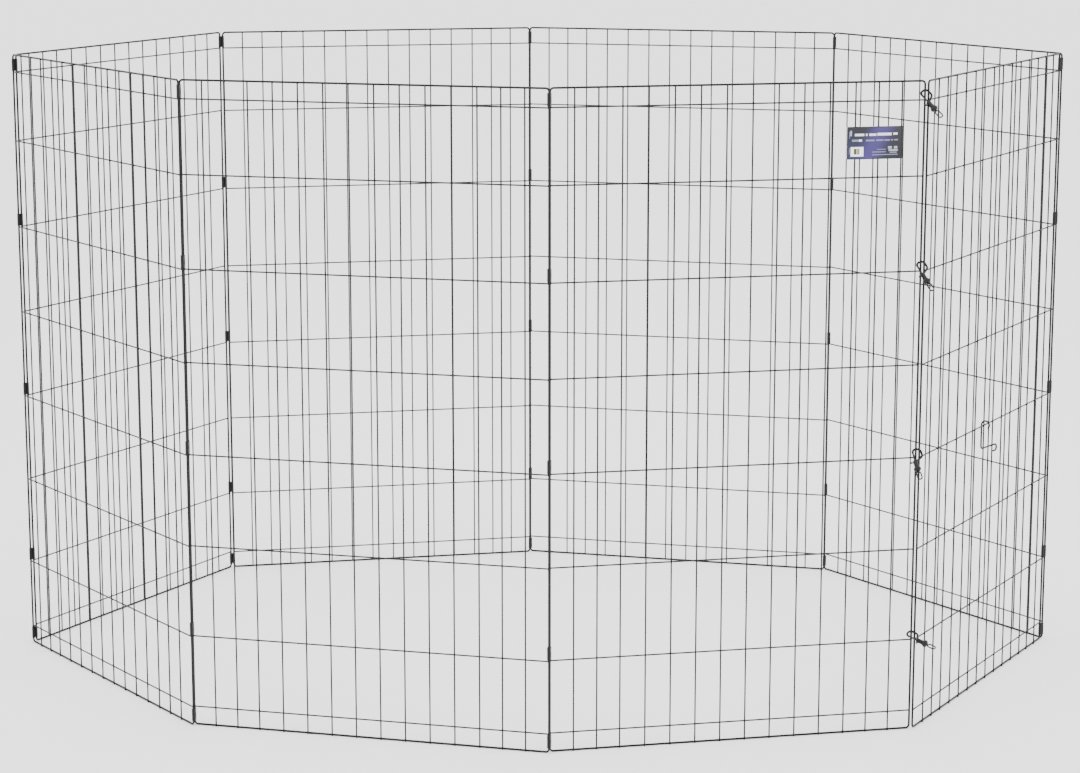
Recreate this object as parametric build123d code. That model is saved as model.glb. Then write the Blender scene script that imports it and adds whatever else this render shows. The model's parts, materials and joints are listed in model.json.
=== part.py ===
from build123d import *
import os
from math import cos, radians, sin

# Eight-panel folding wire exercise pen, in millimetres, +Z up.
# The origin is the middle of the pen on the floor, and -Y is the front.
# Panels are numbered anticlockwise from above, starting at the snap corner at front right.

# Pen
panel_height = 1066.8       # over the frame rods, 42 in
panel_pitch = 609.6         # from one corner to the next, 24 in
rod_pitch = 5.8             # between the two upright frame rods that share a clip or a snap
panel_headings = [60.0, 125.1, 165.4, 191.3]   # degrees, panels 1 to 4; panels 5 to 8 lie opposite
# where the next panel's first rod stands from the last rod of panels 1 to 4; the rest lie opposite:
# square to panel 2, square to panel 3 on both sides of it, and in line with panel 4
pair_headings = [panel_headings[1] - 90, panel_headings[2] + 90, panel_headings[2] + 90,
                 panel_headings[3]]

# Panel wires
frame_dia = 3.4
corner_radius = 5.5         # centreline of the frame's bent corners
wire_dia = 2.5
weld_sink = 0.3             # how deep two welded wires sink into each other
tip_inset = 0.4             # an upright's tips stop this far short of the frame's outer edge
edge_cell = 38.1            # the close spacing beside each upright frame rod
edge_cells = 3
middle_cells = 9
rail_inset = 31.75          # first and last cross wire, from the frame's outer edge
rail_bays = 7               # the other cross wires divide the height evenly

# Hinge clips
clip_height = 21.0
clip_sheet = 0.8
clip_running_gap = 0.06     # sheet to the rod that turns in it, all round
clip_crimp = 0.05           # how far the strap bites on the rod that it is crimped to
crimped_on = [1, 1, 0, 0]   # clips 1_2 to 4_5, 0 the rod before and 1 the rod after; then again
clip_rest_gap = 0.5         # above the cross wire that the clip stands on
clip_seam = 1.2             # between the strap's two lips, on the inner side
clip_lip = 1.6              # how far the lips stand out
clip_bays = [0, 2, 4, 6]    # cross wires that carry a clip, counted from the lowest at 0

# Bolt snaps
hook_dia = 3.6
mouth_room = 2.0            # how much wider the mouth is than the two rods in it
mouth_top = 7.2             # inner top of the hook above the rods' middle
mouth_bottom = 9.0          # hook root below the rods' middle
hook_root = 1.5             # the hook starts this far inside the collar
hook_shoulder = 4.0         # the hook's back straightens this far above its root
hook_end = 2.4              # hook tip above the rods' middle
hook_flat = 0.6             # least straight run left between two of the hook's bends
bolt_dia = 3.0
bolt_gap = 0.3              # bolt tip to hook tip when shut
bolt_travel = 4.6
bolt_running_gap = 0.07
bolt_edge = 0.4
piston_dia = 4.8
piston_length = 3.0
piston_gap = 0.15           # piston to the chamber's upper end, shut
knob_pin_dia = 2.0
knob_sink = 0.4             # the pin starts this far past the bolt's axis
knob_button_dia = 3.4
knob_button = 2.6           # thickness of the thumb button
knob_edge = 0.5
knob_reach = 5.4            # underside of the button from the bolt's axis
knob_slot_gap = 0.25        # pin to slot, all round
barrel_dia = 7.4
cast_edge = 0.8             # chamfers on the casting
barrel_collar = 2.0         # metal above the spring chamber
spring_chamber = 11.4
spring_wire = 0.5
spring_turns = 5
spring_end_gap = 0.15
spring_side_gap = 0.25
bell_dia = 12.0
bell_flare = 3.4            # length of the cone from barrel to bell
bell_lip = 1.6              # metal below the swivel head, and its chamfer
chamber_wall = 1.2
swivel_head_dia = 5.2
swivel_head = 1.8
swivel_gap = 0.4
swivel_stem_dia = 2.7
eye_wire = 2.3
eye_width = 7.4             # eye loop between wire centres
eye_length = 13.0
eye_gap = 0.8               # bell to eye loop
eye_sink = 0.6              # stem into the loop's wire
cut_past = 1.0              # a cutter runs this far past the face that it opens
# cross wire carrying each snap, tilt of the hook from level, and lean to the right, in degrees
snap_places = [(7, 50.0, 30.0), (5, 50.0, 20.0), (3, 50.0, 4.0), (1, 24.0, 46.0)]
snap_rest_gap = 1.75        # hook above the cross wires, with the corner folded straight

# Storage hook, hung on a cross wire of panel 1
hook_rail = 3
hook_wire = 3.0
hook_loop_radius = 7.0      # centreline of the loop round the cross wire
hook_loop_gap = 0.3
hook_shank = 42.0
hook_arm = 47.0
hook_bend = 5.0
hook_curl = 5.5
hook_lip = 5.0              # straight end after the curl
hook_tail = 50.0            # degrees that the loop runs on below its outer side
hook_turn = 9.0             # degrees that the arm turns towards its panel

# Label card, folded round an upright of panel 8
label_width = 92.0
label_height = 51.5
label_sheet = 0.6
label_gap = 0.15            # card to wire
label_top = 71.5            # below the frame's top edge
label_upright = 13          # the upright that the fold goes round, from the panel's start at 0
staple_wire = 0.6
staple_crown = 10.0
staple_leg = 3.5            # bent leg behind the card
staple_bend = 0.48
staple_inset = 6.0

frame_r = frame_dia / 2
wire_r = wire_dia / 2
panel_width = panel_pitch - rod_pitch
mouth_width = rod_pitch + frame_dia + mouth_room    # between the bolt and the back of the hook
low_rod_z = frame_r
high_rod_z = panel_height - frame_r
upright_out = frame_r + wire_r - 1.5 * weld_sink   # uprights lie on the frame's outer side
rail_out = upright_out - wire_dia + weld_sink      # cross wires butt between the frame rods


def rail_heights():
    inner = [panel_height / rail_bays * i for i in range(1, rail_bays)]
    return [rail_inset] + inner + [panel_height - rail_inset]


def upright_places():
    middle = (panel_width - 2 * edge_cells * edge_cell) / middle_cells
    left = [edge_cell * i for i in range(1, edge_cells + 1)]
    centre = [edge_cells * edge_cell + middle * i for i in range(1, middle_cells)]
    right = [panel_width - edge_cell * i for i in range(edge_cells, 0, -1)]
    return left + centre + right


def direction(degrees):
    return Vector(cos(radians(degrees)), sin(radians(degrees)), 0)


def both_halves(headings):
    return headings + [h + 180 for h in headings]


def panel_starts():
    # first and last rod of each panel, walking round the closed chain of panels and rod pairs
    ends = []
    place = Vector(0, 0, 0)
    for heading, pair in zip(both_halves(panel_headings), both_halves(pair_headings)):
        far = place + direction(heading) * panel_width
        ends.append((place, far))
        place = far + direction(pair) * rod_pitch
    centre = (ends[0][0] + ends[4][0]) * 0.5
    return [(a - centre, b - centre) for a, b in ends]


def panel_place(number):
    # local X runs along the panel from its first rod, and local Y points into the pen
    start = panel_starts()[number - 1][0]
    return Location((start.X, start.Y, 0), (0, 0, both_halves(panel_headings)[number - 1]))


def rod(start, end, diameter):
    start, end = Vector(*start), Vector(*end)
    run = end - start
    body = Cylinder(diameter / 2, run.length, align=(Align.CENTER, Align.CENTER, Align.MIN))
    return Plane(origin=start, z_dir=run) * body


def bent_wire(path, diameter):
    section = Plane(origin=path @ 0, z_dir=path % 0) * Circle(diameter / 2)
    return sweep(sections=section, path=path, transition=Transition.ROUND)


def turned(profile, axis=Axis.Y):
    return revolve(make_face(Polyline(*profile, close=True)), axis)


def save(name, *solids):
    group = Compound(children=[Solid(s.solid().wrapped) for s in solids])
    export_step(group, f"parts/{name}.step")


def panel_frame():
    # one bent rod, kept as its four straight runs and four bends
    corners = [(0, 0, low_rod_z), (0, 0, high_rod_z),
               (panel_width, 0, high_rod_z), (panel_width, 0, low_rod_z)]
    path = FilletPolyline(*corners, radius=corner_radius, close=True)
    return [bent_wire(Wire([run]), frame_dia) for run in path.edges()]


def panel_uprights():
    low, high = tip_inset, panel_height - tip_inset
    return [rod((x, -upright_out, low), (x, -upright_out, high), wire_dia)
            for x in upright_places()]


def panel_rails():
    inner = frame_r - weld_sink
    return [rod((inner, -rail_out, z), (panel_width - inner, -rail_out, z), wire_dia)
            for z in rail_heights()]


def clip_heights():
    # underside of each clip: the lowest stands just above the frame's bend, the rest on cross wires
    stand = wire_r + clip_rest_gap
    lowest = low_rod_z + corner_radius + clip_rest_gap
    rails = rail_heights()
    on_rails = [rails[i + 1] + stand for i in clip_bays[:-1]]
    return [lowest] + on_rails + [rails[-1] + stand]


def hinge_clips(number):
    # sheet strap round the last rod of one panel and the first rod of the next, its ends turned out
    first, second = panel_starts()[number - 1][1], panel_starts()[number % 8][0]
    middle = (first + second) * 0.5
    bores = [frame_r + clip_running_gap, frame_r + clip_running_gap]
    bores[crimped_on[(number - 1) % 4]] = frame_r - clip_crimp

    def round_both(sheet):
        rounds = [Pos(side * rod_pitch / 2, 0) * Circle(bore + sheet)
                  for side, bore in zip((-1, 1), bores)]
        return make_hull(rounds[0].edges() + rounds[1].edges())

    lip_width, lip_top = clip_seam + 2 * clip_sheet, frame_r + clip_sheet + clip_lip
    lips = Pos(0, lip_top / 2) * Rectangle(lip_width, lip_top)
    seam = Pos(0, lip_top / 2 + cut_past) * Rectangle(clip_seam, lip_top + 2 * cut_past)
    strap = extrude(round_both(clip_sheet) + lips - round_both(0) - seam, clip_height)
    return [Plane(origin=(middle.X, middle.Y, z), x_dir=second - first, z_dir=(0, 0, 1)) * strap
            for z in clip_heights()]


bolt_s = -(mouth_width + bolt_dia) / 2       # the bolt's axis, to the left of the mouth
hook_s = (mouth_width + hook_dia) / 2
hook_top = mouth_top + hook_dia / 2
collar_top = -mouth_bottom - hook_dia / 2
chamber_top = collar_top - barrel_collar
chamber_low = chamber_top - spring_chamber
swivel_top = chamber_low - chamber_wall
swivel_low = swivel_top - swivel_head - 2 * swivel_gap
bell_low = swivel_low - bell_lip
chamber_r = piston_dia / 2 + bolt_running_gap
piston_top = chamber_top - piston_gap
knob_t = piston_top - piston_length / 2


def snap_plane(number):
    # local X runs to the right across the hook, local Y up the snap towards the hook's top
    rail, tilt, lean = snap_places[number - 1]
    left, right = panel_starts()[7][1], panel_starts()[0][0]
    across = (right - left).normalized()
    inward = Vector(-across.Y, across.X, 0)
    rise = inward * cos(radians(tilt)) + Vector(0, 0, sin(radians(tilt)))
    up = rise * cos(radians(lean)) - across * sin(radians(lean))
    side = across * cos(radians(lean)) + rise * sin(radians(lean))
    hook_reach = hook_s * sin(radians(lean)) * sin(radians(tilt))
    z = rail_heights()[rail] + wire_r + hook_dia / 2 + snap_rest_gap + hook_reach
    middle = (left + right) * 0.5
    return Plane(origin=(middle.X, middle.Y, z), x_dir=side, z_dir=side.cross(up))


def snap_body():
    # cast in one: the hook, and the barrel that holds the bolt, its spring and the swivel
    barrel_r, bell_r = barrel_dia / 2, bell_dia / 2
    path = FilletPolyline((bolt_s + hook_root, collar_top - hook_root, 0),
                          (hook_s, hook_shoulder - mouth_bottom, 0), (hook_s, hook_top, 0),
                          (bolt_s, hook_top, 0), (bolt_s, hook_end, 0),
                          radius=min(hook_s, hook_top - hook_end) - hook_flat)
    outline = [(0, collar_top), (barrel_r - cast_edge, collar_top),
               (barrel_r, collar_top - cast_edge), (barrel_r, chamber_low + bell_flare),
               (bell_r - cast_edge, chamber_low), (bell_r, chamber_low - cast_edge),
               (bell_r, swivel_low + cast_edge), (bell_r - bell_lip, bell_low), (0, bell_low)]
    head_r = swivel_head_dia / 2 + 2 * bolt_running_gap
    stem_r = swivel_stem_dia / 2 + bolt_running_gap
    socket = [(0, swivel_top), (head_r, swivel_top), (head_r, swivel_low), (stem_r, swivel_low),
              (stem_r, bell_low - cut_past), (0, bell_low - cut_past)]
    slot_width = knob_pin_dia + 2 * knob_slot_gap
    slot = Pos(-barrel_r, knob_t - bolt_travel / 2, 0) * Box(
        barrel_dia, bolt_travel + slot_width, slot_width)
    bore_r, bore_top = bolt_dia / 2 + bolt_running_gap, hook_end - bolt_gap
    bore = [(0, bore_top), (bore_r, bore_top), (bore_r, chamber_top), (chamber_r, chamber_top),
            (chamber_r, chamber_low), (0, chamber_low)]
    cast = Pos(bolt_s, 0, 0) * turned(outline) + bent_wire(path, hook_dia)
    return cast - Pos(bolt_s, 0, 0) * (turned(bore) + turned(socket) + slot)


def snap_bolt():
    tip, low = hook_end - bolt_gap, piston_top - piston_length
    bolt_r, piston_r = bolt_dia / 2, piston_dia / 2
    profile = [(0, tip), (bolt_r - bolt_edge, tip), (bolt_r, tip - bolt_edge),
               (bolt_r, piston_top), (piston_r, piston_top), (piston_r, low), (0, low)]
    pin_r, button_r = knob_pin_dia / 2, knob_button_dia / 2
    inner, outer = -knob_reach, -knob_reach - knob_button
    button = [(-knob_sink, 0), (-knob_sink, pin_r), (inner, pin_r), (inner - knob_edge, button_r),
              (outer + knob_edge, button_r), (outer, button_r - knob_edge), (outer, 0)]
    knob = Pos(0, knob_t, 0) * turned(button, Axis.X)
    return Pos(bolt_s, 0, 0) * (turned(profile) + knob)


def snap_spring():
    top = piston_top - piston_length - spring_end_gap - spring_wire / 2
    low = chamber_low + spring_end_gap + spring_wire / 2
    radius = chamber_r - spring_side_gap - spring_wire / 2
    coil = Helix(pitch=(top - low) / spring_turns, height=top - low, radius=radius,
                 center=(0, low, 0), direction=(0, 1, 0))
    section = Plane(origin=coil @ 0, z_dir=coil % 0) * Circle(spring_wire / 2)
    return Pos(bolt_s, 0, 0) * sweep(sections=section, path=coil, is_frenet=True)


def snap_eye():
    head_top = swivel_top - swivel_gap
    head_low = head_top - swivel_head
    loop_top = bell_low - eye_gap - eye_wire / 2
    head_r, stem_r = swivel_head_dia / 2, swivel_stem_dia / 2
    profile = [(0, head_top), (head_r, head_top), (head_r, head_low), (stem_r, head_low),
               (stem_r, loop_top - eye_sink), (0, loop_top - eye_sink)]
    half, low = eye_width / 2, loop_top - eye_length
    loop = FilletPolyline((half, loop_top, 0), (half, low, 0), (-half, low, 0),
                          (-half, loop_top, 0), radius=half - bolt_edge, close=True)
    return Pos(bolt_s, 0, 0) * (turned(profile) + bent_wire(loop, eye_wire))


def storage_hook():
    # in panel 1's own frame; the loop hangs on the cross wire, and the arm lies inside the panel
    x, rail = panel_width / 2, rail_heights()[hook_rail]
    reach = hook_loop_radius - hook_wire / 2 - wire_r - hook_loop_gap
    slant = cos(radians(45))
    loop_y, loop_z = -rail_out + reach * slant, rail - reach * slant

    def on_loop(degrees):
        angle = radians(degrees)
        return (x, loop_y + hook_loop_radius * cos(angle), loop_z + hook_loop_radius * sin(angle))

    loop = ThreePointArc(on_loop(180 + hook_tail), on_loop(90 + hook_tail), on_loop(0))
    foot = Vector(*on_loop(0)) - Vector(0, 0, hook_shank)
    turn = Vector(cos(radians(hook_turn)), -sin(radians(hook_turn)), 0)
    arm_end = foot + turn * (hook_arm + hook_curl)
    back = arm_end - Vector(0, 0, 2 * hook_curl)
    last = back - turn * (hook_curl + hook_lip)
    curl = hook_curl - hook_flat / 2
    bends = FilletPolyline(on_loop(0), foot, arm_end, back, last, radius=[hook_bend, curl, curl])
    return bent_wire(Wire(loop.edges() + bends.edges()), hook_wire)


def label_card():
    # in panel 8's own frame: a strip of card wrapped round one upright, open at its far edge
    x = upright_places()[label_upright]
    inner = wire_dia + 2 * label_gap
    outer = inner + 2 * label_sheet
    run = label_width - outer / 2
    section = Pos(x - run / 2) * Rectangle(run, outer) + Pos(x) * Circle(outer / 2)
    section -= Pos(x - run / 2) * Rectangle(run + 2 * cut_past, inner) + Pos(x) * Circle(inner / 2)
    low = panel_height - label_top - label_height
    return Pos(0, -upright_out, low) * extrude(section, label_height)


def label_staples():
    x = upright_places()[label_upright] - label_width + staple_inset
    middle = panel_height - label_top - label_height / 2
    front = -upright_out - wire_r - label_gap - label_sheet - staple_wire / 2
    back = -upright_out + wire_r + label_gap + label_sheet + staple_wire / 2
    staples = []
    for side in (-1, 1):
        z = middle + side * label_height / 4
        low, high = z - staple_crown / 2, z + staple_crown / 2
        path = FilletPolyline((x, back, low + staple_leg), (x, back, low), (x, front, low),
                              (x, front, high), (x, back, high), (x, back, high - staple_leg),
                              radius=staple_bend)
        staples.append(bent_wire(path, staple_wire))
    return staples


def main():
    os.makedirs("parts", exist_ok=True)
    frame, uprights, rails = panel_frame(), panel_uprights(), panel_rails()
    for number in range(1, 9):
        place = panel_place(number)
        save(f"panel_{number}_frame", *[place * f for f in frame])
        save(f"panel_{number}_uprights", *[place * u for u in uprights])
        save(f"panel_{number}_crosswires", *[place * r for r in rails])
    for number in range(1, 8):
        save(f"clips_{number}_{number + 1}", *hinge_clips(number))
    snap_pieces = {"body": snap_body(), "bolt": snap_bolt(), "spring": snap_spring(),
                   "eye": snap_eye()}
    for number in range(1, 5):
        for piece, solid in snap_pieces.items():
            save(f"snap_{number}_{piece}", snap_plane(number) * solid)
    save("storage_hook", panel_place(1) * storage_hook())
    save("label_card", panel_place(8) * label_card())
    save("label_staples", *[panel_place(8) * s for s in label_staples()])


main()
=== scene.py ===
import json
import math

import bmesh
import bpy
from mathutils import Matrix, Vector


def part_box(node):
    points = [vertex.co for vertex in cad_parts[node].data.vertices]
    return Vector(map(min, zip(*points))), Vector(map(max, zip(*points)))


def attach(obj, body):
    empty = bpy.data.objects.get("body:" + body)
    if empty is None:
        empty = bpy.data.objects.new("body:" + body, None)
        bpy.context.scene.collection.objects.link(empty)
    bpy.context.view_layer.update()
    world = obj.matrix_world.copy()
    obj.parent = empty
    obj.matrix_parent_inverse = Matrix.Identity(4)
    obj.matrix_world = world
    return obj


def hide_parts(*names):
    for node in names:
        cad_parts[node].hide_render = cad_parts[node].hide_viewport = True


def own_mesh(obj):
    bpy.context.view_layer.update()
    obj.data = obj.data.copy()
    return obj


# Folding wire pen of eight panels, hinge clips and four bolt snaps, all in metres.
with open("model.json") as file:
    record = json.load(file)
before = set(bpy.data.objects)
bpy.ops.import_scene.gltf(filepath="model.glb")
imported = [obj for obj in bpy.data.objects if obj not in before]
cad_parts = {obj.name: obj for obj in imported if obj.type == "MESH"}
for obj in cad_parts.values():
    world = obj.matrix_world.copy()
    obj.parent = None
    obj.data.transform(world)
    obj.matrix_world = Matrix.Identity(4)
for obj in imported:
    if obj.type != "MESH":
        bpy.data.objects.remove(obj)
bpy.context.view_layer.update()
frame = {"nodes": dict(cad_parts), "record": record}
nodeBody = {node: body for body, nodes in frame["record"]["behaviour"]["bodies"].items()
            for node in nodes}
panelCount = 8
print("frame loaded:", len(frame["nodes"]), "nodes")


def linearColour(text):
    # sRGB hex to the linear values that shaders take
    channels = [int(text[i:i + 2], 16) / 255 for i in (1, 3, 5)]
    return [c / 12.92 if c <= 0.04045 else ((c + 0.055) / 1.055) ** 2.4 for c in channels] + [1.0]


def addNode(tree, kind, links=None, **settings):
    # settings that name a property of the node are set on it, and the rest on its inputs
    node = tree.nodes.new(kind)
    inputs = {}
    for name, value in settings.items():
        if hasattr(node, name):
            setattr(node, name, value)
        else:
            inputs[name] = value
    for name, value in inputs.items():
        socketNamed(node.inputs, name).default_value = value
    for name, source in (links or {}).items():
        tree.links.new(source, socketNamed(node.inputs, name))
    return node


def socketNamed(sockets, name):
    # a socket by its place, or the first enabled one with that name
    if isinstance(name, int):
        return sockets[name]
    wanted = name.replace("_", " ").lower()
    return next(s for s in sockets if s.enabled and s.name.lower() == wanted)


def newTree(name, kind, inputs, output):
    # a node group with its sockets: gives the tree, what comes in and the socket to fill
    tree = bpy.data.node_groups.new(name, kind)
    for direction, sockets in (("INPUT", inputs), ("OUTPUT", (output,))):
        for label, value in sockets:
            tree.interface.new_socket(label, in_out=direction, socket_type="NodeSocket" + value)
    given = addNode(tree, "NodeGroupInput").outputs
    return tree, given, addNode(tree, "NodeGroupOutput").inputs[0]


def newMaterial(name):
    material = bpy.data.materials.new(name)
    material.use_nodes = True
    tree = material.node_tree
    tree.nodes.clear()
    output = addNode(tree, "ShaderNodeOutputMaterial")
    coords = addNode(tree, "ShaderNodeTexCoord")
    return material, tree, output, coords.outputs


def coatedMetal(name, look):
    # paint or bare metal: a fine grain, and wear that changes the gloss from place to place
    material, tree, output, coords = newMaterial(name)
    patches = addNode(tree, "ShaderNodeTexNoise", {"vector": coords["Object"]},
                      scale=1 / look["patchSize"], detail=look["patchDetail"])
    grain = addNode(tree, "ShaderNodeTexNoise", {"vector": coords["Object"]},
                    scale=1 / look["grainSize"], detail=look["grainDetail"])
    gloss = addNode(tree, "ShaderNodeMapRange", {"value": patches.outputs[0]},
                    to_min=look["roughness"] - look["glossChange"],
                    to_max=look["roughness"] + look["glossChange"])
    tint = addNode(tree, "ShaderNodeMix", {"factor": patches.outputs[0]}, data_type="RGBA")
    tint.inputs[6].default_value = linearColour(look["dark"])
    tint.inputs[7].default_value = linearColour(look["light"])
    bump = addNode(tree, "ShaderNodeBump", {"height": grain.outputs[0]},
                   strength=look["grainStrength"], distance=look["grainDepth"])
    shader = addNode(tree, "ShaderNodeBsdfPrincipled",
                     {"base_color": tint.outputs[2], "roughness": gloss.outputs[0],
                      "normal": bump.outputs[0]},
                     metallic=look["metallic"], coat_weight=look["coat"],
                     coat_roughness=look["coatRoughness"], specular_ior_level=look["sheen"])
    tree.links.new(shader.outputs[0], output.inputs["Surface"])
    return material


coatLook = {"dark": "#030304", "light": "#08090A", "roughness": 0.38, "glossChange": 0.09,
            "patchSize": 0.035, "patchDetail": 4.0, "grainSize": 0.0006, "grainDetail": 2.0,
            "grainDepth": 0.00003, "grainStrength": 0.35, "metallic": 0.0, "coat": 0.03,
            "coatRoughness": 0.18, "sheen": 0.2}
clipLook = dict(coatLook, dark="#050506", light="#0E0F10", roughness=0.34, patchSize=0.006)
castLook = dict(coatLook, dark="#070708", light="#131416", roughness=0.42, patchSize=0.004,
                grainSize=0.0004, grainStrength=0.5)
boltLook = dict(coatLook, dark="#0B0B0C", light="#1A1B1D", roughness=0.32, patchSize=0.004)
bareLook = dict(coatLook, dark="#8F9296", light="#C2C4C6", roughness=0.28, patchSize=0.002,
                grainSize=0.0002, metallic=1.0, coat=0.0, sheen=0.5)

# satin black electrocoat over welded wire
eCoat = coatedMetal("eCoatedWire", coatLook)
# painted spring steel strip, rubbed a little by the rods
paintedStrip = coatedMetal("paintedSteelStrip", clipLook)
# die-cast zinc under black coating
coatedZinc = coatedMetal("blackCoatedZinc", castLook)
# turned steel, black coated
coatedBolt = coatedMetal("blackCoatedSteel", boltLook)
# bare drawn wire
bareSteel = coatedMetal("bareSpringSteel", bareLook)
print("metals made")


def meshObject(name, mesh):
    piece = bpy.data.objects.new(name, mesh)
    bpy.context.scene.collection.objects.link(piece)
    return piece


def bakedMesh(source):
    # the object's mesh with its modifiers applied; the object goes
    evaluated = source.evaluated_get(bpy.context.evaluated_depsgraph_get())
    mesh = bpy.data.meshes.new_from_object(evaluated)
    bpy.data.objects.remove(source)
    return mesh


def mergedCopy(node):
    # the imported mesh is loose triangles, so the copy's points are joined first
    mesh = frame["nodes"][node].data.copy()
    shape = bmesh.new()
    shape.from_mesh(mesh)
    bmesh.ops.remove_doubles(shape, verts=shape.verts, dist=1e-6)
    return mesh, shape


def islands(node):
    # every separate wire or clip of a node, as its list of points
    mesh, shape = mergedCopy(node)
    shape.verts.ensure_lookup_table()
    seen, groups = set(), []
    for vert in shape.verts:
        if vert.index in seen:
            continue
        stack, group = [vert], []
        seen.add(vert.index)
        while stack:
            here = stack.pop()
            group.append(here.co.copy())
            for edge in here.link_edges:
                other = edge.other_vert(here)
                if other.index not in seen:
                    seen.add(other.index)
                    stack.append(other)
        groups.append(group)
    shape.free()
    bpy.data.meshes.remove(mesh)
    return groups


def middleOf(points):
    # the middle and the two corners of the box round some points
    low = Vector([min(p[i] for p in points) for i in range(3)])
    high = Vector([max(p[i] for p in points) for i in range(3)])
    return (low + high) / 2, low, high


sharpAngles = {"rod": 38.0, "casting": 50.0, "fineWire": 60.0}


def smoothPiece(node, material, sharpAngle=sharpAngles["rod"]):
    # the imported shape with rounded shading, without the faces that two solids share
    mesh, shape = mergedCopy(node)
    seen = {}
    for face in shape.faces:
        seen.setdefault(frozenset(v.index for v in face.verts), []).append(face)
    inside = [face for faces in seen.values() if len(faces) > 1 for face in faces]
    bmesh.ops.delete(shape, geom=inside, context="FACES_ONLY")
    for face in shape.faces:
        face.smooth = True
    limit = math.radians(sharpAngle)
    for edge in shape.edges:
        edge.smooth = len(edge.link_faces) == 2 and edge.calc_face_angle(0) < limit
    shape.to_mesh(mesh)
    shape.free()
    mesh.materials.clear()
    mesh.materials.append(material)
    piece = meshObject(node + "_look", mesh)
    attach(piece, nodeBody[node])
    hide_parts(node)
    return piece


# Panels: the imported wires, and the weld metal at every crossing
wireSizes = {"frameRadius": 0.0017, "wireRadius": 0.00125, "sink": 0.0003, "railOut": 0.0003}
weldLook = {"crossing": (0.00138, 0.0009, 0.00138), "railEnd": (0.0007, 0.00155, 0.00155),
            "frameCrossing": (0.00145, 0.0010, 0.00145), "frameSinkShare": 0.75,
            "sizeChange": 0.12, "seed": 7, "segments": 8, "rings": 6}


def panelLayout(number):
    # where a panel's wires are, along it and in height, and the way that it faces
    uprights = sorted((middleOf(group) for group in islands(f"panel_{number}_uprights")),
                      key=lambda m: m[0].x)
    rails = sorted((middleOf(group) for group in islands(f"panel_{number}_crosswires")),
                   key=lambda m: m[0].z)
    centre = rails[0][0]
    toUprights = uprights[len(uprights) // 2][0] - centre
    ends = uprights[-1][0] - uprights[0][0]
    along = Vector((ends.x, ends.y, 0)).normalized()
    outward = Vector((along.y, -along.x, 0))
    if outward.dot(toUprights) < 0:
        along, outward = -along, -outward
    half = max(abs((p - centre).dot(along)) for group in islands(f"panel_{number}_crosswires")[:1]
               for p in group)
    return {"uprights": [m[0] for m in uprights], "heights": [m[0].z for m in rails],
            "centre": Vector((centre.x, centre.y, 0)), "along": along, "outward": outward,
            "halfRail": half}


def weldTree():
    # a flattened ball of metal at every point, turned with its panel and varied in size
    tree, given, result = newTree(
        "weldMetal", "GeometryNodeTree",
        (("Points", "Geometry"), ("Heading", "Float"), ("Size Change", "Float"), ("Seed", "Int"),
         ("Metal", "Material")), ("Welds", "Geometry"))
    limits = []
    for operation in ("SUBTRACT", "ADD"):
        limit = addNode(tree, "ShaderNodeMath", {1: given["Size Change"]}, operation=operation)
        limit.inputs[0].default_value = 1.0
        limits.append(limit.outputs[0])
    jitter = addNode(tree, "FunctionNodeRandomValue",
                     {"seed": given["Seed"], "min": limits[0], "max": limits[1]},
                     data_type="FLOAT")
    size = addNode(tree, "GeometryNodeInputNamedAttribute", data_type="FLOAT_VECTOR")
    size.inputs["Name"].default_value = "weldSize"
    scaled = addNode(tree, "ShaderNodeVectorMath",
                     {0: size.outputs[0], "scale": jitter.outputs[1]}, operation="SCALE")
    turn = addNode(tree, "ShaderNodeCombineXYZ", {"z": given["Heading"]})
    ball = addNode(tree, "GeometryNodeMeshUVSphere", segments=weldLook["segments"],
                   rings=weldLook["rings"], radius=1.0)
    placed = addNode(tree, "GeometryNodeInstanceOnPoints",
                     {"points": given["Points"], "instance": ball.outputs[0],
                      "rotation": turn.outputs[0], "scale": scaled.outputs[0]})
    solid = addNode(tree, "GeometryNodeRealizeInstances", {0: placed.outputs[0]})
    smooth = addNode(tree, "GeometryNodeSetShadeSmooth", {0: solid.outputs[0]})
    metal = addNode(tree, "GeometryNodeSetMaterial",
                    {0: smooth.outputs[0], "material": given["Metal"]})
    tree.links.new(metal.outputs[0], result)
    return tree


def grown(name, points, attributes, tree, inputs):
    # points through a node tree, baked to one plain mesh
    mesh = bpy.data.meshes.new(name + "Points")
    mesh.from_pydata(points, [], [])
    for attribute, (kind, key, values) in attributes.items():
        layer = mesh.attributes.new(attribute, kind, "POINT")
        layer.data.foreach_set(key, [c for value in values for c in value])
    source = meshObject(name + "Source", mesh)
    modifier = source.modifiers.new("grow", "NODES")
    modifier.node_group = tree
    sockets = {item.name: item.identifier for item in tree.interface.items_tree
               if item.in_out == "INPUT"}
    for socket, value in inputs.items():
        modifier[sockets[socket]] = value
    source.update_tag()
    baked = bakedMesh(source)
    baked.name = name
    return meshObject(name, baked)


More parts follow.
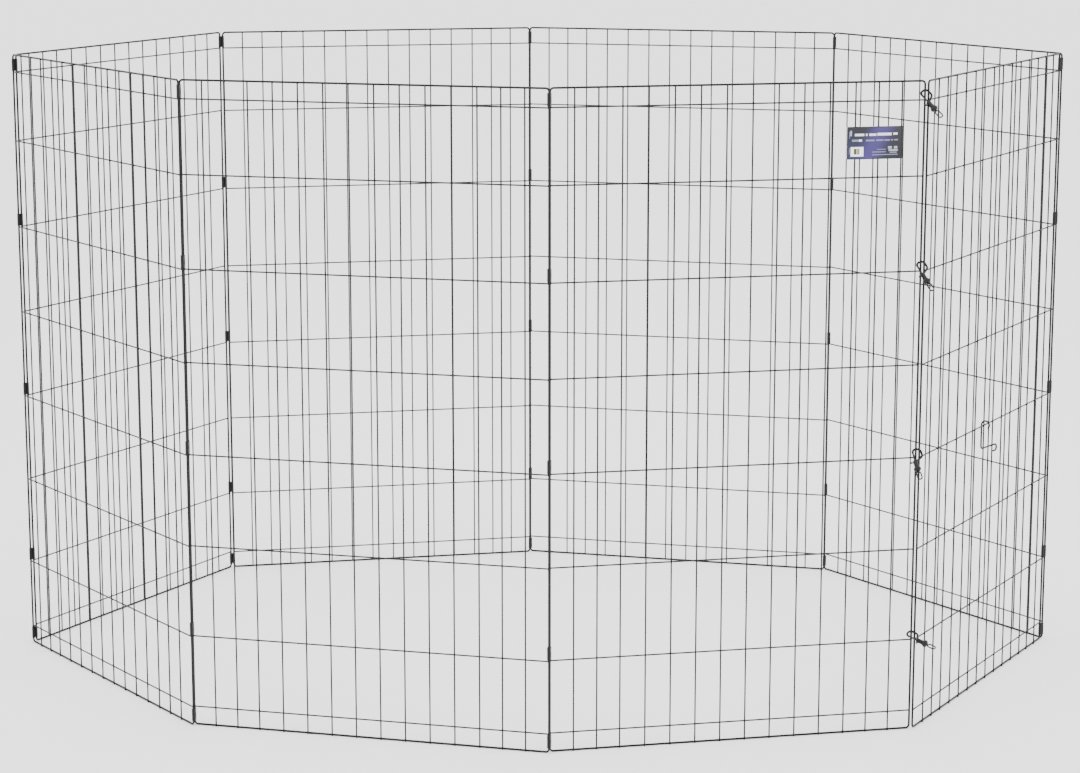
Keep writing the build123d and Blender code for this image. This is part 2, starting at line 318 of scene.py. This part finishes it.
def panelWelds(number, layout, tree):
    # weld metal where uprights cross the rails and the frame, and where the rails end
    along, outward, centre = layout["along"], layout["outward"], layout["centre"]
    contact = outward * (wireSizes["railOut"] + wireSizes["wireRadius"] - wireSizes["sink"] / 2)
    frameContact = outward * (wireSizes["frameRadius"]
                              - weldLook["frameSinkShare"] * wireSizes["sink"])
    planeOf = centre - outward * wireSizes["railOut"]
    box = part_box(f"panel_{number}_frame")
    rods = (box[0].z + wireSizes["frameRadius"], box[1].z - wireSizes["frameRadius"])
    points, sizes = [], []
    for upright in layout["uprights"]:
        foot = planeOf + along * (upright - centre).dot(along)
        for z in layout["heights"]:
            points.append(foot + contact + Vector((0, 0, z)))
            sizes.append(weldLook["crossing"])
        for z in rods:
            points.append(foot + frameContact + Vector((0, 0, z)))
            sizes.append(weldLook["frameCrossing"])
    for side in (-1, 1):
        for z in layout["heights"]:
            points.append(centre + along * side * (layout["halfRail"] - wireSizes["sink"])
                          + Vector((0, 0, z)))
            sizes.append(weldLook["railEnd"])
    piece = grown(f"panel_{number}_welds", points,
                  {"weldSize": ("FLOAT_VECTOR", "vector", sizes)}, tree,
                  {"Heading": math.atan2(along.y, along.x), "Metal": eCoat,
                   "Size Change": weldLook["sizeChange"], "Seed": weldLook["seed"] + number})
    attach(piece, nodeBody[f"panel_{number}_frame"])


layouts = {}
welds = weldTree()
for number in range(1, panelCount + 1):
    for part in ("frame", "uprights", "crosswires"):
        smoothPiece(f"panel_{number}_{part}", eCoat)
    layouts[number] = panelLayout(number)
    panelWelds(number, layouts[number], welds)
print("panels made")


# Hinge clips: a strap of sheet round two rods, pinched between them at mid height
clipSizes = {"height": 0.021, "sheet": 0.0008, "gap": 0.00006, "seam": 0.0012,
             "lip": 0.0016, "flare": 0.0007, "flarePower": 6, "midLip": 0.5, "midFlare": 0.4,
             "lipRoot": 0.15, "dip": 0.00085, "dipHeight": 0.0052, "dipWidth": 0.0008,
             "levels": 15, "arcSteps": 10, "leafSteps": 3, "dipSteps": 10,
             "edge": 0.00018, "edgeSteps": 2, "edgeAngle": 50.0}


def rodsOf(number):
    # places of a panel's two upright frame rods
    layout = layouts[number]
    reach = layout["halfRail"] + wireSizes["frameRadius"] - wireSizes["sink"]
    middle = layout["centre"] - layout["outward"] * wireSizes["railOut"]
    return [middle - layout["along"] * reach, middle + layout["along"] * reach]


def strapSection(half, height):
    # the sheet's middle line from one lip round both rods to the other, at a height from -1 to 1
    s = clipSizes
    radius = wireSizes["frameRadius"] + s["gap"] + s["sheet"] / 2
    flare = s["flare"] * abs(height) ** s["flarePower"]
    waist = math.exp(-((height * s["height"] / 2) / s["dipHeight"]) ** 2)
    lipX = s["seam"] / 2 + s["sheet"] / 2
    edge = [(lipX + flare, radius + s["lip"]),
            (lipX + flare * s["midFlare"], radius + s["lip"] * s["midLip"]),
            (lipX, radius + s["sheet"] * s["lipRoot"])]
    edge += [(lipX + (half - lipX) * i / s["leafSteps"], radius)
             for i in range(1, s["leafSteps"])]

    def roundRod(rod, start):
        angles = [start + math.pi * i / s["arcSteps"] for i in range(s["arcSteps"] + 1)]
        return [(rod + radius * math.cos(a), radius * math.sin(a)) for a in angles]

    line = [(-x, y) for x, y in edge] + roundRod(-half, math.pi / 2)
    for i in range(1, s["dipSteps"]):
        x = -half + 2 * half * i / s["dipSteps"]
        dip = s["dip"] * waist * math.exp(-(x / s["dipWidth"]) ** 2 / 2)
        line.append((x, -radius + dip))
    return line + roundRod(half, -math.pi / 2) + edge[::-1]


def strapMesh(half):
    # one clip as an object that the node tree copies to every place
    s = clipSizes
    mesh = bpy.data.meshes.new("clipStrap")
    shape = bmesh.new()
    rows = []
    for level in range(s["levels"]):
        share = level / (s["levels"] - 1)
        line = strapSection(half, -1 + 2 * level / (s["levels"] - 1))
        rows.append([shape.verts.new((x, y, s["height"] * share)) for x, y in line])
    for lower, upper in zip(rows, rows[1:]):
        for i in range(len(lower) - 1):
            shape.faces.new((lower[i], lower[i + 1], upper[i + 1], upper[i]))
    bmesh.ops.recalc_face_normals(shape, faces=shape.faces)
    shape.to_mesh(mesh)
    shape.free()
    strap = meshObject("clipStrap", mesh)
    solid = strap.modifiers.new("sheet", "SOLIDIFY")
    solid.thickness, solid.offset = s["sheet"], 0
    bevel = strap.modifiers.new("edge", "BEVEL")
    bevel.width, bevel.segments, bevel.limit_method = s["edge"], s["edgeSteps"], "ANGLE"
    bevel.angle_limit = math.radians(s["edgeAngle"])
    finished = bakedMesh(strap)
    for polygon in finished.polygons:
        polygon.use_smooth = True
    return meshObject("clipStrapSource", finished)


def clipTree():
    # the strap at every point, turned across its pair of rods
    tree, given, result = newTree(
        "hingeClips", "GeometryNodeTree",
        (("Points", "Geometry"), ("Strap", "Object"), ("Heading", "Float"),
         ("Metal", "Material")), ("Clips", "Geometry"))
    strap = addNode(tree, "GeometryNodeObjectInfo", {"object": given["Strap"]})
    turn = addNode(tree, "ShaderNodeCombineXYZ", {"z": given["Heading"]})
    placed = addNode(tree, "GeometryNodeInstanceOnPoints",
                     {"points": given["Points"], "instance": strap.outputs["Geometry"],
                      "rotation": turn.outputs[0]})
    solid = addNode(tree, "GeometryNodeRealizeInstances", {0: placed.outputs[0]})
    metal = addNode(tree, "GeometryNodeSetMaterial",
                    {0: solid.outputs[0], "material": given["Metal"]})
    tree.links.new(metal.outputs[0], result)
    return tree


clipNodes = clipTree()
strapSource = None
for number in range(1, panelCount):
    node = f"clips_{number}_{number + 1}"
    first, second = rodsOf(number)[1], rodsOf(number + 1)[0]
    across = second - first
    if strapSource is None:
        strapSource = strapMesh(across.length / 2)
    lows = sorted(middleOf(group)[1].z for group in islands(node))
    middle = (first + second) / 2
    piece = grown(node + "_straps", [(middle.x, middle.y, z) for z in lows], {}, clipNodes,
                  {"Strap": strapSource, "Heading": math.atan2(across.y, across.x),
                   "Metal": paintedStrip})
    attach(piece, nodeBody[node])
    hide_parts(node)
bpy.data.objects.remove(strapSource)
print("clips made")


# Snaps, the storage hook and the label's staples
snapCount = 4


def closingSpring(number):
    # the spring with rounded shading, on a mesh of its own
    spring = smoothPiece(f"snap_{number}_spring", bareSteel,
                         sharpAngles["fineWire"])
    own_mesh(spring)


for number in range(1, snapCount + 1):
    smoothPiece(f"snap_{number}_body", coatedZinc, sharpAngles["casting"])
    smoothPiece(f"snap_{number}_bolt", coatedBolt)
    closingSpring(number)
    smoothPiece(f"snap_{number}_eye", coatedZinc, sharpAngles["casting"])
smoothPiece("storage_hook", eCoat)
smoothPiece("label_staples", bareSteel, sharpAngles["fineWire"])
print("snaps and hook made")


# Label card, folded round an upright
cardLook = {"leftTop": "#1E1E22", "rightTop": "#2C2B30", "leftLow": "#2A3050",
            "rightLow": "#15191C", "violet": "#40346F", "border": "#101113", "bar": "#D8D8DC",
            "small": "#77778A", "panel": "#F4F4F2", "olive": "#454A1C", "emblem": "#9A9CA6",
            "back": "#E8E6E0", "borderWidth": 0.012, "borderHeight": 0.022,
            "bandSlant": 0.30, "bandPlace": 0.36, "bandInner": 0.02, "bandOuter": 0.34,
            "bandStrength": 0.85, "roughness": 0.34, "smoother": 0.05, "rougher": 0.07,
            "fibreScale": 900.0, "sheen": 0.25, "coat": 0.05,
            "onPanel": 8, "sheet": 0.0006, "bow": 0.0007, "steps": 24, "foldSteps": 12, "rise": 10}
cardBlocks = [
    # colour, left, right, low, high, as shares of the card's width and height
    ("emblem", 0.055, 0.085, 0.72, 0.88),
    ("bar", 0.14, 0.31, 0.715, 0.785), ("bar", 0.34, 0.37, 0.715, 0.785),
    ("bar", 0.40, 0.53, 0.715, 0.785), ("bar", 0.55, 0.81, 0.72, 0.80),
    ("bar", 0.84, 0.92, 0.735, 0.80),
    ("small", 0.09, 0.20, 0.545, 0.61), ("bar", 0.21, 0.27, 0.545, 0.61),
    ("small", 0.34, 0.50, 0.55, 0.60), ("small", 0.53, 0.66, 0.555, 0.60),
    ("small", 0.68, 0.78, 0.555, 0.60), ("small", 0.80, 0.84, 0.56, 0.60),
    ("small", 0.86, 0.93, 0.56, 0.60),
    ("panel", 0.07, 0.30, 0.09, 0.38), ("olive", 0.125, 0.175, 0.15, 0.33),
    ("small", 0.18, 0.23, 0.15, 0.33),
    ("emblem", 0.75, 0.82, 0.31, 0.385), ("emblem", 0.86, 0.92, 0.31, 0.385),
    ("emblem", 0.76, 0.93, 0.24, 0.29), ("small", 0.78, 0.91, 0.18, 0.215),
    ("small", 0.55, 0.71, 0.285, 0.305), ("small", 0.46, 0.71, 0.205, 0.23),
    ("small", 0.46, 0.93, 0.12, 0.145),
]


def blockTree():
    # 1 inside a rectangle of the card, 0 outside
    tree, given, result = newTree(
        "printedBlock", "ShaderNodeTree",
        [(name, "Float") for name in ("U", "V", "Left", "Right", "Low", "High")],
        ("Inside", "Float"))
    tests = [("GREATER_THAN", "U", "Left"), ("LESS_THAN", "U", "Right"),
             ("GREATER_THAN", "V", "Low"), ("LESS_THAN", "V", "High")]
    product = None
    for operation, value, limit in tests:
        test = addNode(tree, "ShaderNodeMath", {0: given[value], 1: given[limit]},
                       operation=operation).outputs[0]
        product = test if product is None else addNode(
            tree, "ShaderNodeMath", {0: product, 1: test}, operation="MULTIPLY").outputs[0]
    tree.links.new(product, result)
    return tree


def cardMaterial():
    # gloss laminated print, with a plain back
    material, tree, output, coords = newMaterial("laminatedPrint")
    uv = addNode(tree, "ShaderNodeUVMap", uv_map="cardMap").outputs[0]
    split = addNode(tree, "ShaderNodeSeparateXYZ", {0: uv}).outputs

    def mixed(factor, a, b):
        mix = addNode(tree, "ShaderNodeMix", {"factor": factor}, data_type="RGBA")
        for socket, colour in ((mix.inputs[6], a), (mix.inputs[7], b)):
            if isinstance(colour, str):
                socket.default_value = linearColour(cardLook[colour])
            else:
                tree.links.new(colour, socket)
        return mix.outputs[2]

    colour = mixed(split[1], mixed(split[0], "leftLow", "rightLow"),
                   mixed(split[0], "leftTop", "rightTop"))
    # a violet sheen, strongest on a slanting line across the middle
    slant = addNode(tree, "ShaderNodeMath", {0: split[1]}, operation="MULTIPLY")
    slant.inputs[1].default_value = cardLook["bandSlant"]
    place = addNode(tree, "ShaderNodeMath", {0: split[0], 1: slant.outputs[0]},
                    operation="SUBTRACT")
    away = addNode(tree, "ShaderNodeMath", {0: place.outputs[0]}, operation="SUBTRACT")
    away.inputs[1].default_value = cardLook["bandPlace"]
    distance = addNode(tree, "ShaderNodeMath", {0: away.outputs[0]}, operation="ABSOLUTE")
    band = addNode(tree, "ShaderNodeMapRange", {"value": distance.outputs[0]},
                   interpolation_type="SMOOTHSTEP", from_min=cardLook["bandInner"],
                   from_max=cardLook["bandOuter"], to_min=cardLook["bandStrength"], to_max=0.0)
    colour = mixed(band.outputs[0], colour, "violet")
    block = blockTree()

    def inside(left, right, low, high):
        node = addNode(tree, "ShaderNodeGroup")
        node.node_tree = block
        tree.links.new(split[0], node.inputs["U"])
        tree.links.new(split[1], node.inputs["V"])
        for name, value in (("Left", left), ("Right", right), ("Low", low), ("High", high)):
            node.inputs[name].default_value = value
        return node.outputs[0]

    for name, *place in cardBlocks:
        colour = mixed(inside(*place), colour, name)
    side, end = cardLook["borderWidth"], cardLook["borderHeight"]
    colour = mixed(inside(side, 1 - side, end, 1 - end), "border", colour)
    printed = addNode(tree, "ShaderNodeAttribute", attribute_name="printed").outputs["Fac"]
    colour = mixed(printed, "back", colour)
    fibre = addNode(tree, "ShaderNodeTexNoise", {"vector": coords["Object"]},
                    scale=cardLook["fibreScale"])
    gloss = addNode(tree, "ShaderNodeMapRange", {"value": fibre.outputs[0]},
                    to_min=cardLook["roughness"] - cardLook["smoother"],
                    to_max=cardLook["roughness"] + cardLook["rougher"])
    shader = addNode(tree, "ShaderNodeBsdfPrincipled",
                     {"base_color": colour, "roughness": gloss.outputs[0]},
                     specular_ior_level=cardLook["sheen"], coat_weight=cardLook["coat"])
    tree.links.new(shader.outputs[0], output.inputs["Surface"])
    return material


def cardSection(along, outward):
    # the folded sheet seen from above: place along the panel, place outwards, 1 on the front
    # leaf or 0 on the back one, and the share of the leaf's width
    points = [p for group in islands("label_card") for p in group]
    reach = [p.dot(along) for p in points]
    depth = [p.dot(outward) for p in points]
    left, right = min(reach), max(reach)
    inner, outer = min(depth), max(depth)
    middle, radius = (inner + outer) / 2, (outer - inner) / 2
    fold, offset = right - radius, radius - cardLook["sheet"] / 2
    steps, foldSteps = cardLook["steps"], cardLook["foldSteps"]

    def leaf(order, side, front):
        rows = []
        for i in order:
            share = i / steps
            bow = cardLook["bow"] * math.sin(math.pi * share)
            rows.append((left + (fold - left) * share, middle + side * offset + bow, front, share))
        return rows

    section = leaf(range(steps + 1), 1, 1)
    for i in range(1, foldSteps):
        a = math.pi / 2 - math.pi * i / foldSteps
        section.append((fold + offset * math.cos(a), middle + offset * math.sin(a), 1, 1))
    return section + leaf(range(steps, -1, -1), -1, 0)


def cardPiece():
    layout = layouts[cardLook["onPanel"]]
    along, outward = layout["along"], layout["outward"]
    section, rise = cardSection(along, outward), cardLook["rise"]
    low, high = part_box("label_card")
    mesh = bpy.data.meshes.new("label_card_print")
    shape = bmesh.new()
    uvLayer = shape.loops.layers.uv.new("cardMap")
    rows = []
    for k in range(rise + 1):
        z = low.z + (high.z - low.z) * k / rise
        rows.append([shape.verts.new(along * x + outward * y + Vector((0, 0, z)))
                     for x, y, front, share in section])
    fronts = []
    for k in range(rise):
        for i in range(len(section) - 1):
            corners = ((i, k), (i + 1, k), (i + 1, k + 1), (i, k + 1))
            face = shape.faces.new([rows[row][column] for column, row in corners])
            for loop, (column, row) in zip(face.loops, corners):
                loop[uvLayer].uv = (section[column][3], row / rise)
            face.smooth = True
            fronts.append(float(section[i][2]))
    shape.to_mesh(mesh)
    shape.free()
    mesh.attributes.new("printed", "FLOAT", "FACE").data.foreach_set("value", fronts)
    source = meshObject("cardSource", mesh)
    solid = source.modifiers.new("sheet", "SOLIDIFY")
    solid.thickness, solid.offset = cardLook["sheet"], 0
    finished = bakedMesh(source)
    finished.materials.append(cardMaterial())
    piece = meshObject("label_card_print", finished)
    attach(piece, nodeBody["label_card"])
    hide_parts("label_card")


cardPiece()
print("label made")


# Floor, light and camera
stageLook = {"floor": "#F4F4F4", "floorRoughness": 0.9, "floorSize": 60.0,
             "sky": "#FFFFFF", "skyStrength": 2.6,
             # name, place, target, size, power
             "lights": (("overhead", (0.3, -0.4, 4.2), (0, 0, 0.2), 3.5, 60.0),
                        ("leftFill", (-3.4, -3.2, 2.2), (0, 0, 0.6), 2.2, 40.0),
                        ("rightFill", (3.6, -2.4, 1.8), (0, 0, 0.6), 1.8, 26.0))}


def studio():
    mesh = bpy.data.meshes.new("floor")
    half = stageLook["floorSize"] / 2
    corners = [(-half, -half, 0), (half, -half, 0), (half, half, 0), (-half, half, 0)]
    mesh.from_pydata(corners, [], [(0, 1, 2, 3)])
    floor = meshObject("floor", mesh)
    material, tree, output = newMaterial("paleFloor")[:3]
    shader = addNode(tree, "ShaderNodeBsdfPrincipled",
                     base_color=linearColour(stageLook["floor"]),
                     roughness=stageLook["floorRoughness"])
    tree.links.new(shader.outputs[0], output.inputs["Surface"])
    mesh.materials.append(material)
    world = bpy.data.worlds.new("studio")
    world.use_nodes = True
    background = world.node_tree.nodes["Background"]
    background.inputs[0].default_value = linearColour(stageLook["sky"])
    background.inputs[1].default_value = stageLook["skyStrength"]
    bpy.context.scene.world = world
    for name, place, target, size, power in stageLook["lights"]:
        data = bpy.data.lights.new(name, "AREA")
        data.size, data.energy = size, power
        light = bpy.data.objects.new(name, data)
        light.location = place
        aim = Vector(target) - Vector(place)
        light.rotation_euler = aim.to_track_quat("-Z", "Y").to_euler()
        bpy.context.scene.collection.objects.link(light)


viewLook = {"place": (-0.0227, -5.0511, 1.4738), "turn": (78.774, 0.016, -0.290),
            "lens": 95.76, "sensor": 36.0, "nearest": 0.1, "furthest": 100.0}


def camera():
    data = bpy.data.cameras.new("camera")
    data.sensor_width, data.lens = viewLook["sensor"], viewLook["lens"]
    data.clip_start, data.clip_end = viewLook["nearest"], viewLook["furthest"]
    data.dof.use_dof = False
    viewer = bpy.data.objects.new("camera", data)
    viewer.location = viewLook["place"]
    viewer.rotation_euler = [math.radians(angle) for angle in viewLook["turn"]]
    bpy.context.scene.collection.objects.link(viewer)
    bpy.context.scene.camera = viewer


studio()
camera()
print("studio ready")
